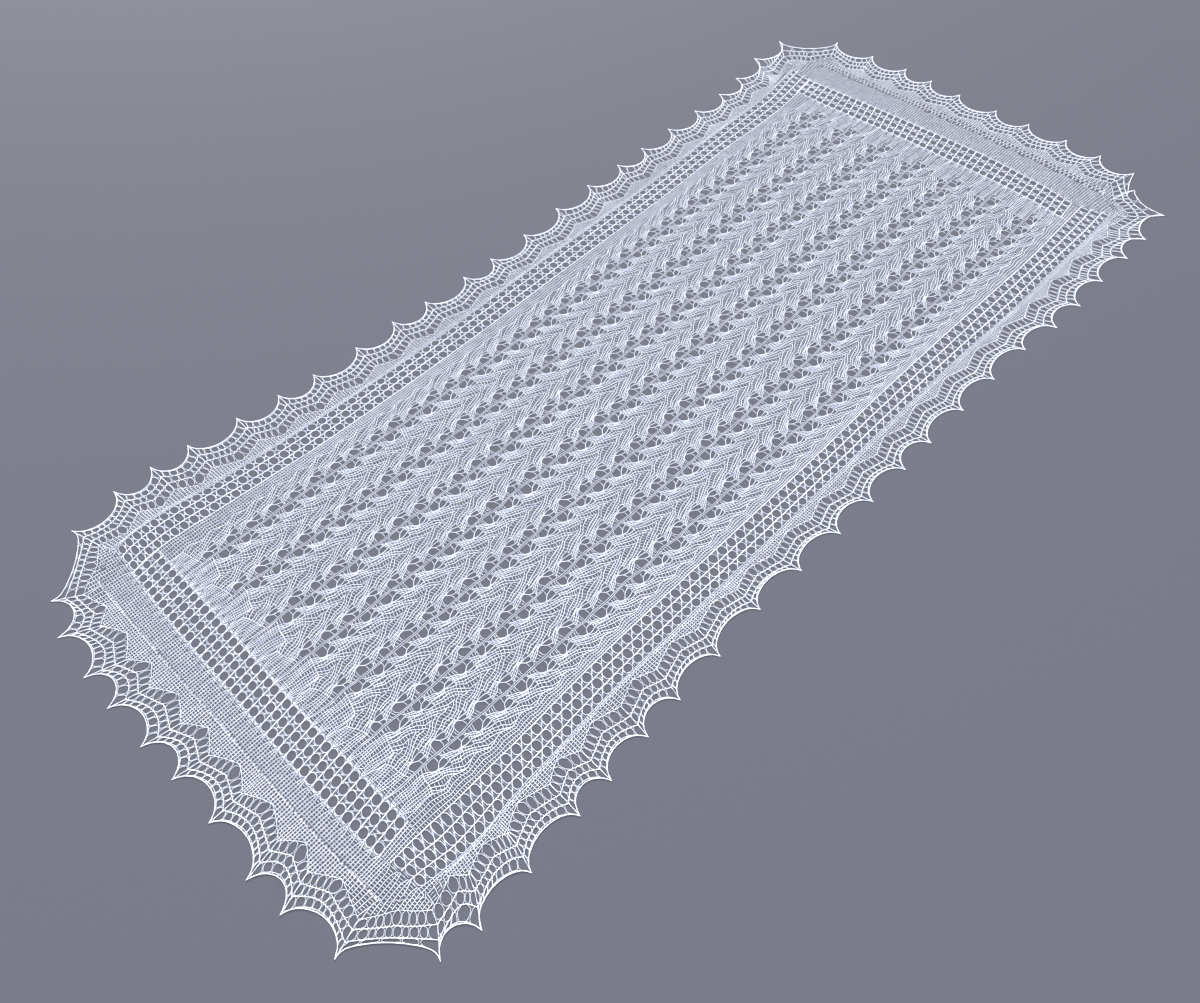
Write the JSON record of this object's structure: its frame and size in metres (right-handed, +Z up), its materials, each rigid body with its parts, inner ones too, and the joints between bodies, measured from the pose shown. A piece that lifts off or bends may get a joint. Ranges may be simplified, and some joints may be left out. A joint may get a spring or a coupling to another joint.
{
  "type": "lace shawl",
  "caption": "Rectangular knitted lace shawl lying flat, with a panel of waves made by fans of round holes, an eyelet frame and a scalloped edging.",
  "frame": {"origin": "middle of the shawl's outline, on the surface it lies on", "axes": "+Y along the shawl, +X across it, +Z up from the surface"},
  "size_m": [0.802, 1.716, 0.0022],
  "materials": {
    "centre_wool": "matte, slightly hairy laceweight wool, white with a cool tint",
    "edging_wool": "matte, slightly hairy laceweight wool, white with a cool tint, worked with the yarn held tighter"
  },
  "bodies": {
    "root": {"centre": "centre_wool", "edging_near": "edging_wool", "edging_right": "edging_wool", "edging_far": "edging_wool", "edging_left": "edging_wool"}
  },
  "joints": []
}
